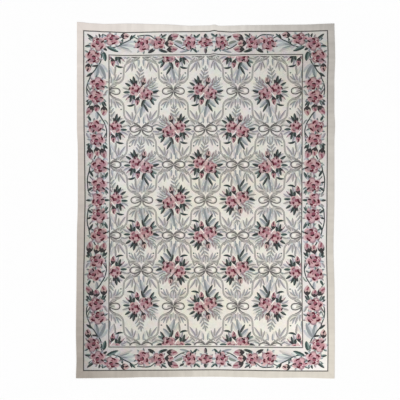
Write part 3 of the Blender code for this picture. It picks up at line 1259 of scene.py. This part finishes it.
def meeting_edges(triangles, yarns):
    """The edges where two yarns meet, or the cloth ends, with the yarns on the left and the right."""
    on_left = {}
    for triangle, yarn in zip(triangles.tolist(), yarns.tolist()):
        for a, b in zip(triangle, triangle[1:] + triangle[:1]):
            on_left[a, b] = yarn
    for (a, b), yarn in on_left.items():
        other = on_left.get((b, a), NOTHING)
        if yarn != other and (a < b or other == NOTHING):
            yield a, b, yarn, other


def runs_on(places, v, near):
    """Whether the two edges at a crossing lie on one straight line."""
    one, other = (places[end] - places[v] for end, _, _ in near)
    turned = one.conjugate() * other
    return turned.real < 0 and abs(turned.imag) < STRAIGHT * abs(turned)


def straighten(places, edges, drawn):
    """Joins edges that run straight on through a crossing which no longer shows."""
    around = {}
    for a, b, left, right in edges:
        around.setdefault(a, []).append((b, left, right))
        around.setdefault(b, []).append((a, right, left))
    hidden = (v for v, near in around.items() if len(near) == 2 and not drawn[v])
    straight = {v for v in hidden if runs_on(places, v, around[v])}
    for start, near in around.items():
        if start in straight:
            continue
        for place, left, right in near:
            last = start
            while place in straight:
                (one, _, _), (other, _, _) = around[place]
                last, place = place, (other if one == last else one)
            if start < place:
                yield start, place, left, right


def spread(faces, on_left):
    """The yarn of each triangle, from the edges that know theirs."""
    face_at = {(a, b): f for f, face in enumerate(faces) for a, b in zip(face, face[1:] + face[:1])}
    yarns = [NOTHING] * len(faces)
    waiting = []
    for edge, yarn in on_left.items():
        if edge in face_at and yarn != NOTHING and yarns[face_at[edge]] == NOTHING:
            yarns[face_at[edge]] = yarn
            waiting.append(face_at[edge])
    while waiting:
        f = waiting.pop()
        for a, b in zip(faces[f], faces[f][1:] + faces[f][:1]):
            beside = face_at.get((b, a))
            if beside is not None and yarns[beside] == NOTHING and (b, a) not in on_left:
                yarns[beside] = yarns[f]
                waiting.append(beside)
    return np.array(yarns)


def what_shows(places, triangles, yarns, drawn, loose):
    """The same picture with the fewest triangles: places, triangles and the yarn of each."""
    edges = list(straighten(places, meeting_edges(triangles, yarns), drawn))
    corners = sorted({v for edge in edges for v in edge[:2]})
    number = {v: i for i, v in enumerate(corners)}
    flat = [Vector((p.real, p.imag)) for p in (*places[corners], *loose)]
    lines = [(number[a], number[b]) for a, b, _, _ in edges]
    verts, parts, faces, _, sources, _ = delaunay_2d_cdt(flat, lines, [], 0, WELD, True)
    on_left = {}
    for (a, b), source in zip(parts, sources):
        if source:
            start, end, left, right = edges[source[0]]
            ahead = (verts[b] - verts[a]).dot(flat[number[end]] - flat[number[start]]) > 0
            on_left[a, b], on_left[b, a] = (left, right) if ahead else (right, left)
    faces = [list(face) for face in faces]
    found = spread(faces, on_left)
    # A sliver outside the rim has no yarn, and is left out
    inside = found != NOTHING
    return np.array([complex(*v) for v in verts]), np.array(faces)[inside], found[inside]


yarn_names = list(YARNS)
shape_yarns = np.array([yarn_names.index(name) for name in chart.yarns])
all_places, all_triangles, owners, drawn = triangulate(chart.outlines)
print(len(all_places), "places,", len(all_triangles), "triangles with all that is hidden")
grid = inner_grid(WORKED_X, WORKED_Y, GRID_STEP)
places, triangles, triangle_yarns = what_shows(all_places, all_triangles, shape_yarns[owners], drawn, grid)
triangle_colours = np.array([linear(YARNS[name]) for name in yarn_names])[triangle_yarns]
print(len(places), "places,", len(triangles), "triangles that show")

# %% [markdown]
# ## The worked canvas
#
# The stitched wool shows on both sides. It is made as two closed halves, the face and the back,
# which meet in the middle of the canvas. Each half is the triangulated design, a wall down its
# rim, the bare margin that runs out under the binding, and a plain floor that closes it. On the
# back, a stitcher's yarns show duller, over more of the canvas.

# %% One half of the canvas
MARGIN_REACH = BAND - CANVAS_INSET + GAP
MARGIN_LOW = CLOTH_THICK + GAP
MARGIN_HIGH = MARGIN_LOW + CANVAS_THICK
MIDDLE = (MARGIN_LOW + MARGIN_HIGH) / 2
SHOULDER = 0.5
CLOSING_STEP = 60.0
ON_RIM = 0.01
CANVAS = linear((205, 196, 178))
UV_FACE = 0.972
UV_HIDDEN = 0.978


def on_sides(place):
    """Whether places lie on the left or right of the worked rectangle, and on its top or bottom."""
    from_x, from_y = np.abs(place.real) - WORKED_X, np.abs(place.imag) - WORKED_Y
    return np.abs(from_x) < ON_RIM, np.abs(from_y) < ON_RIM


def rim_of(places):
    """The numbers of the places on the rim of the worked rectangle, in order round it."""
    upright, level = on_sides(places)
    rim = np.flatnonzero(upright | level)
    # Stretched to a square, the angle from the middle runs steadily round the rim
    angles = np.angle(places.real[rim] / WORKED_X + 1j * places.imag[rim] / WORKED_Y)
    return rim[np.argsort(angles)]


def outwards(place, reach):
    """Places on the worked rim, moved out by reach on the sides that they lie on."""
    upright, level = on_sides(place)
    x = place.real + np.sign(place.real) * reach * upright
    y = place.imag + np.sign(place.imag) * reach * level
    return x + 1j * y


def laid(x, y, z):
    """Straight places in millimetres to points in metres on the carpet as it lies, swells and all."""
    return np.stack([*settle(x, y), (z + swell(x, y)) / 1000], -1)


def canvas_half(name, face_z, margin_z, colours):
    """One closed half. face_z is the height of the stitches, margin_z that of the bare margin."""
    rim = rim_of(places)
    count = len(rim)
    up = face_z > MIDDLE
    edge = outwards(places[rim], MARGIN_REACH)
    loops = [(places[rim], margin_z), (edge, margin_z), (edge, MIDDLE)]
    inner = inner_grid(WORKED_X, WORKED_Y, CLOSING_STEP)
    closing, closing_faces, _, _ = triangulate([list(edge)], inner)

    parts = [(places, face_z), *loops, (closing, MIDDLE)]
    flat = np.concatenate([part for part, _ in parts])
    z = np.concatenate([np.full(len(part), height) for part, height in parts])
    z[rim] += -SHOULDER if up else SHOULDER
    faces = list(map(tuple, triangles))
    ring = list(rim)
    for number in range(len(loops)):
        start = len(places) + number * count
        following = list(range(start, start + count))
        for i in range(count):
            j = (i + 1) % count
            faces.append((ring[i], following[i], following[j], ring[j]))
        ring = following
    first = len(places) + len(loops) * count
    faces += [tuple(first + v for v in face[::-1]) for face in closing_faces]
    faces = faces if up else [face[::-1] for face in faces]
    made = mesh_object(name, laid(flat.real, flat.imag, z), faces)
    colour_faces(made.data, colours)
    map_faces(made.data, flat, len(colours))
    return made


def colour_faces(mesh, colours):
    """Gives each stitched triangle its colour, and every other face the colour of the canvas."""
    layer = mesh.color_attributes.new("yarn", "FLOAT_COLOR", "CORNER")
    sizes = np.array([len(face.vertices) for face in mesh.polygons])
    each = np.tile(np.append(CANVAS, 1.0), (len(sizes), 1))
    each[: len(colours), :3] = colours
    layer.data.foreach_set("color", np.repeat(each, sizes, axis=0).astype(np.float32).ravel())


def map_faces(mesh, flat, stitched):
    """Lays the stitched side flat over nearly all of the map, and the rest in a strip beside it."""
    layer = mesh.uv_layers.new(name="OFBake")
    corner_vertex = np.empty(len(mesh.loops), int)
    mesh.loops.foreach_get("vertex_index", corner_vertex)
    spot = flat[corner_vertex]
    u = (spot.real + HALF_WIDTH) / (2 * HALF_WIDTH)
    v = (spot.imag + HALF_LENGTH) / (2 * HALF_LENGTH)
    u_face = (spot.real + WORKED_X) / (2 * WORKED_X) * UV_FACE
    v_face = (spot.imag + WORKED_Y) / (2 * WORKED_Y)
    shown = np.arange(len(u)) < 3 * stitched
    uv = np.stack([np.where(shown, u_face, UV_HIDDEN + u * (1 - UV_HIDDEN)), np.where(shown, v_face, v)], 1)
    layer.data.foreach_set("uv", uv.astype(np.float32).ravel())


# %% Make both halves
BACK_SHOW_THROUGH = 0.42

needlework_face = canvas_half("needlework_face", WOOL_THICK, MARGIN_HIGH, triangle_colours)
muted = triangle_colours * (1 - BACK_SHOW_THROUGH) + CANVAS * BACK_SHOW_THROUGH
needlework_back = canvas_half("needlework_back", 0.0, MARGIN_LOW, muted)
for half in (needlework_face, needlework_back):
    half.data.calc_loop_triangles()
    print(half.name, len(half.data.loop_triangles), "triangles")

# %% [markdown]
# ## The binding
#
# The binding is a strip of cream cloth, folded lengthwise over the edge and sewn down on the face
# and on the back. It is thinner than the wool, so it lies a little lower. A folded strip is never
# smooth: it is held short by the stitches and ripples between them, and here and there a crease
# runs right across. The strip is one closed form, swept along its edge and mitred at its ends.

# %% The strip cut across
# Each crease: where along the strip it lies, how high it is, and how wide
CREASES = {
    "top": [(70, 1.6, 9), (95, 1.0, 7), (-640, 0.6, 12), (420, 0.5, 10)],
    "bottom": [(-24, 1.1, 8), (80, 1.2, 8), (175, 1.0, 8), (-700, 0.5, 12)],
    "left": [(900, 0.5, 12), (-300, 0.6, 12), (-1100, 0.5, 10)],
    "right": [(620, 0.6, 12), (-150, 0.5, 10), (-1250, 0.6, 12)],
}
FOLD_ROUND = 3.0
FOLD_STEPS = 8
HEM_ROUND = 0.45
TOP_DEPTHS = [58.0, 52.0, 44.0, 36.0, 28.0, 20.0, 13.0, 7.5]
STRIP_STEP = 12.0
# Each ripple: its height, length, how far it sways and over what length, by the fold and the hem
RIPPLES = [(0.35, 23.0, 1.7, 91.0), (0.35 * 0.6, 9.5, 2.3, 57.0)]
PUFF = 0.5
CREASE_LEAN = 0.15


def strip_section():
    """The folded strip cut across: (distance in from the edge, height), all the way round."""
    middle = BAND_THICK / 2
    upper = [(BAND, BAND_THICK - HEM_ROUND), (BAND - HEM_ROUND, BAND_THICK)]
    upper += [(depth, BAND_THICK) for depth in TOP_DEPTHS]
    fold = []
    for i in range(FOLD_STEPS + 1):
        turn = math.pi / 2 + math.pi * i / FOLD_STEPS
        fold.append((FOLD_ROUND * (1 + math.cos(turn)), middle * (1 + math.sin(turn))))
    lower = [(depth, BAND_THICK - z) for depth, z in upper[::-1]]
    pocket = CANVAS_INSET - GAP
    inner = [
        (BAND, CLOTH_THICK),
        (BAND / 2, CLOTH_THICK),
        (pocket, CLOTH_THICK),
        (pocket, BAND_THICK - CLOTH_THICK),
        (BAND / 2, BAND_THICK - CLOTH_THICK),
        (BAND, BAND_THICK - CLOTH_THICK),
    ]
    return upper + fold + lower + inner


def ripple(along, depth, creases):
    """How far the strip's upper layer rises, in millimetres, at places along and across it."""
    fold_side = 1 - depth / BAND
    rise = np.zeros(along.shape)
    for (height, length, sway, over), share in zip(RIPPLES, (fold_side, 1 - fold_side)):
        rise += height * (1 + np.sin(along / length + sway * np.sin(along / over))) * share
    rise += PUFF * np.sin(math.pi * np.clip(depth / BAND, 0, 1)) ** 2
    for at, height, width in creases:
        lean = at + (depth - BAND / 2) * CREASE_LEAN
        rise += height * np.exp(-(((along - lean) / width) ** 2))
    return rise


# %% Sweep the strips
def binding(side, half_along, half_across, put):
    """One folded strip. put(along, out) gives its place on the straight rectangle."""
    depth, height = np.array(strip_section()).T
    shares = steps_between(-1, 1, STRIP_STEP / half_along)
    along = np.outer(shares, half_along - depth - GAP)
    depths = np.broadcast_to(depth, along.shape)
    rise = ripple(along, depths, CREASES[side]) * (height / BAND_THICK) ** 2
    rings = laid(*put(along, half_across - depths), height + rise)
    return strip_mesh("binding_strip_" + side, rings, side in ("top", "left"))


def strip_mesh(name, rings, turned):
    """A closed mesh from equal rings of points, with its two ends filled."""
    count, around = rings.shape[:2]
    faces = []
    for i in range(count - 1):
        for j in range(around):
            k = (j + 1) % around
            faces.append([i * around + j, i * around + k, (i + 1) * around + k, (i + 1) * around + j])
    faces += [list(range(around))[::-1], list(range((count - 1) * around, count * around))]
    return mesh_object(name, rings.reshape(-1, 3), [face[::-1] for face in faces] if turned else faces)


strips = {
    "top": binding("top", HALF_WIDTH, HALF_LENGTH, lambda along, out: (along, out)),
    "bottom": binding("bottom", HALF_WIDTH, HALF_LENGTH, lambda along, out: (along, -out)),
    "left": binding("left", HALF_LENGTH, HALF_WIDTH, lambda along, out: (-out, along)),
    "right": binding("right", HALF_LENGTH, HALF_WIDTH, lambda along, out: (out, along)),
}
for strip in strips.values():
    strip.data.calc_loop_triangles()
print({side: len(strip.data.loop_triangles) for side, strip in strips.items()}, "triangles")

# %% [markdown]
# The strip is sewn down with small slanted stitches of cream thread, each over the edge of the
# cloth and into the wool beside it. They are the only thing that holds it.

# %% Hem stitches
HEM_STEP = 14.0
HEM_STITCH = 5.0
HEM_LEAN = 2.2
HEM_THREAD = 0.9
HEM_RISE = 0.35
# A stitch is a bar with three corners at each end, the third of them a thread's width higher
BAR_SIDES = [(0, 2, 1), (3, 4, 5), (0, 1, 4, 3), (1, 2, 5, 4), (2, 0, 3, 5)]
BAR_HEIGHTS = np.array([0.0, 0.0, HEM_THREAD] * 2) + WOOL_THICK - HEM_THREAD + HEM_RISE
# Each seam: half its length, how far out its edge is, and which way it is turned
SEAMS = [
    (WORKED_X, HALF_LENGTH, 1),
    (WORKED_X, HALF_LENGTH, -1),
    (HALF_LENGTH, HALF_WIDTH, 1j),
    (HALF_LENGTH, HALF_WIDTH, -1j),
]


def seam_stitches(half_along, half_across, turn):
    """The start and end of each stitch along one seam of the straight rectangle."""
    seam = half_across - BAND
    for place in steps_between(-half_along + BAND, half_along - BAND, HEM_STEP):
        start = complex(place, seam - HEM_STITCH / 2) * turn
        yield start, complex(place + HEM_LEAN, seam + HEM_STITCH / 2) * turn


def hem_stitches(name):
    """All the small stitches that hold the strips, as one piece made of thin three-sided bars."""
    points, faces = [], []
    for seam in SEAMS:
        for start, end in seam_stitches(*seam):
            aside = 1j * (end - start) / abs(end - start) * HEM_THREAD / 2
            spots = np.array([start - aside, start + aside, start, end - aside, end + aside, end])
            faces += [[len(points) + v for v in side] for side in BAR_SIDES]
            points += laid(spots.real, spots.imag, BAR_HEIGHTS).tolist()
    return mesh_object(name, points, faces)


stitches = hem_stitches("hem_stitches")
print(len(stitches.data.polygons) // len(BAR_SIDES), "hem stitches")

# %% [markdown]
# ## Finishes
#
# Tent stitch covers each crossing of the canvas with one short slanted stitch, some two and a half
# millimetres apart. The bump of one stitch is worked out from where a point lies in its square of
# the grid: high along the slant and low between. Each stitch also has a slightly different tone,
# because wool takes dye unevenly, and broad soft patches stand for age and for changes of dye lot.
# Below its middle the carpet is worn a little paler and warmer, as it is where people walk on it.

# %% Painted light and shade
YARN_LIGHT = 0.96
# Painted light: it falls off from two opposite corners towards the other two, on the wool and on the cloth
WOOL_SADDLE_LIGHT = 0.31
CORNER_LIGHT = 0.10
SIDE_SHADE = 0.17
END_LIGHT = 0.10
WARMTH = (0.012, 0.0, -0.018)
WORN_TINT = (0.045, 0.03, -0.005)
# The worn place: how far up its middle is, and how fast it ends across and along the carpet
WORN_Y = -0.35
WORN_ENDS = (1.8, 0.55)
# Where the shade of the left side and the light of the two ends begin, and how fast they grow
EDGE_GROWTH = 4.0
SIDE_START = 3.6
END_START = 5.6


def painted_saddle_light(x, y, amount):
    """How light a finish is painted where it lies, as light that falls off: most at two opposite corners,
    least at the other two.
    """
    return YARN_LIGHT - x * y * (amount * 1e6 / (HALF_WIDTH * HALF_LENGTH))


def towards_corner(x, y):
    """A number that grows from the top left corner, -1, to the bottom right one, 1."""
    return x * (500 / HALF_WIDTH) - y * (500 / HALF_LENGTH)


# %% Wool
STITCH_MM = 2.4
STITCH_RISE = 0.0005
STITCH_TONE = 0.10
STITCH_BUMP = 0.7
STITCH_ROUND = (2.6, 0.7)
PATCH_TINT = (0.10, 0.13, 0.28)
CLOUD_TONE = 0.12
FLECK_TONE = 0.16
BLOTCH_TONE = 0.22
# How fine each kind of unevenness is, and how much detail it has
PATCHES = (1.3, 3.0)
CLOUDS = (9.0, 4.0)
BLOTCHES = (20.0, 2.0)
FLECKS = (75.0, 1.0)


def above(made, value):
    """A value where it is above nothing, and nothing elsewhere."""
    return made.math("MAXIMUM", value, 0.0)


def painted_wool_light(made, across, up):
    """The light and shade painted on the wool where it lies: light falling off towards two corners and
    growing towards the bottom right, painted shade on the left side, painted light at the two ends.
    """
    left = above(made, across * -EDGE_GROWTH - SIDE_START) * SIDE_SHADE
    ends = above(made, made.math("ABSOLUTE", up) * EDGE_GROWTH - END_START) * END_LIGHT
    # Painted light that grows towards the bottom right corner
    corners = towards_corner(across, up) * CORNER_LIGHT
    return painted_saddle_light(across, up, WOOL_SADDLE_LIGHT) + corners - left + ends


def uneven_tint(made, place, across, up):
    """What age, dye and wear add to the red, green and blue of the wool."""
    below = up - WORN_Y
    worn = above(made, 1.0 - across * across * WORN_ENDS[0] - below * below * WORN_ENDS[1])
    dye = made.noise(place, *PATCHES) * PATCH_TINT + made.noise(place, *BLOTCHES, output=1) * BLOTCH_TONE
    return dye + towards_corner(across, up) * WARMTH + worn * WORN_TINT


def wool(name):
    made = Finish(name, Roughness=0.95, Sheen_Weight=0.15, Sheen_Roughness=0.6, Specular_IOR_Level=0.2)
    yarn = made.add("ShaderNodeAttribute", {"attribute_name": "yarn"})
    place, across, up, _ = made.place()
    grid = place * (1000 / STITCH_MM)
    square = made.math("FLOOR", grid)
    tone = (made.add("ShaderNodeTexWhiteNoise", inputs={"Vector": square}) - 0.5) * STITCH_TONE
    soft = made.noise(place, *CLOUDS) * CLOUD_TONE + made.noise(place, *FLECKS) * FLECK_TONE
    # shade is the stitches' random tone with the painted light and shade laid over it
    shade = tone + soft + painted_wool_light(made, across, up)
    made.colour(yarn * (uneven_tint(made, place, across, up) + shade))

    x, y, _ = made.split(grid - square)
    over, along = x - y, x + y - 1.0
    slant = 1.0 - over * over * STITCH_ROUND[0] - along * along * STITCH_ROUND[1]
    made.bump(slant, STITCH_RISE, STITCH_BUMP)
    return made.material


for half in (needlework_face, needlework_back):
    half.data.materials.append(wool(half.name + "_wool"))

# %% [markdown]
# The binding is plain cotton from one bolt, with light and shade painted into it: it is lightest in the
# middle of the top edge and darkest on the left. Faint bands run across it where it was folded.

# %% Cloth
# One cotton, painted lit on the top strip and in shade on the left one
CLOTH_LIT_TONES = {
    "top": (227, 222, 215),
    "bottom": (218, 212, 201),
    "left": (197, 188, 180),
    "right": (206, 200, 191),
}
CLOTH_SADDLE_LIGHT = 0.30
COTTON_CLOUDS = (7.0, 4.0)
CLOUD_DEPTH = 0.26
BAND_SCALE = 24.0
BAND_DEPTH = 0.22
SLUB_STRETCH = (60.0, 900.0, 60.0)
SLUB_DEPTH = 0.05
THREAD_MM = 0.9
THREAD_RISE = 0.00012
THREAD_BUMP = 0.6


def lit_cloth_tone(made, x, y):
    """The cream of the cloth at a place, with painted light and shade, blended so that two strips agree at
    the corner where they meet.
    """
    top, bottom, left, right = (linear(CLOTH_LIT_TONES[side]) for side in ("top", "bottom", "left", "right"))
    middle = (top + bottom) / 2
    across = tuple((right - left) / 2 / (HALF_WIDTH / 1000))
    up = tuple((top - bottom) / 2 / (HALF_LENGTH / 1000))
    sides = tuple(((left + right) / 2 - middle) / (HALF_WIDTH / 1000))
    return x * across + y * up + made.math("ABSOLUTE", x) * sides + tuple(middle)


def cloth(name, along):
    """Cream cotton. along holds 1 for the direction of the strip, and little for the one across."""
    made = Finish(name, Roughness=0.9, Sheen_Weight=0.1, Specular_IOR_Level=0.25)
    place, x, y, _ = made.place()
    cloud = made.noise(place, *COTTON_CLOUDS) * CLOUD_DEPTH
    bands = made.noise(place * along, BAND_SCALE) * BAND_DEPTH
    slub = made.noise(place * SLUB_STRETCH, 1.0) * SLUB_DEPTH
    # The cloth's shade is its random tone with painted light falling off towards two corners
    shade = cloud + bands + slub + painted_saddle_light(x, y, CLOTH_SADDLE_LIGHT)
    made.colour(lit_cloth_tone(made, x, y) * shade)
    turns = math.tau * 1000 / THREAD_MM
    weave = made.math("SINE", x * turns) * made.math("SINE", y * turns)
    made.bump(weave, THREAD_RISE, THREAD_BUMP)
    return made.material


LEVEL = (1.0, 0.08, 1.0)
UPRIGHT = (0.08, 1.0, 1.0)
for side, strip in strips.items():
    strip.data.materials.append(cloth("cloth_" + side, LEVEL if side in ("top", "bottom") else UPRIGHT))
stitches.data.materials.append(cloth("hem_thread", LEVEL))

# %% [markdown]
# ## Tying up
#
# Each piece is shaded flat and tied to the root, and the solids that the pieces stand for
# are hidden.

for piece in (needlework_face, needlework_back, stitches, *strips.values()):
    for face in piece.data.polygons:
        face.use_smooth = False
    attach(piece, "root")
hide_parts("worked_canvas")
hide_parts("worked_canvas")
for side, strip in strips.items():
    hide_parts("binding_" + side)

for side, strip in strips.items():
    length = 2 * (HALF_WIDTH if side in ("top", "bottom") else HALF_LENGTH) / 1000
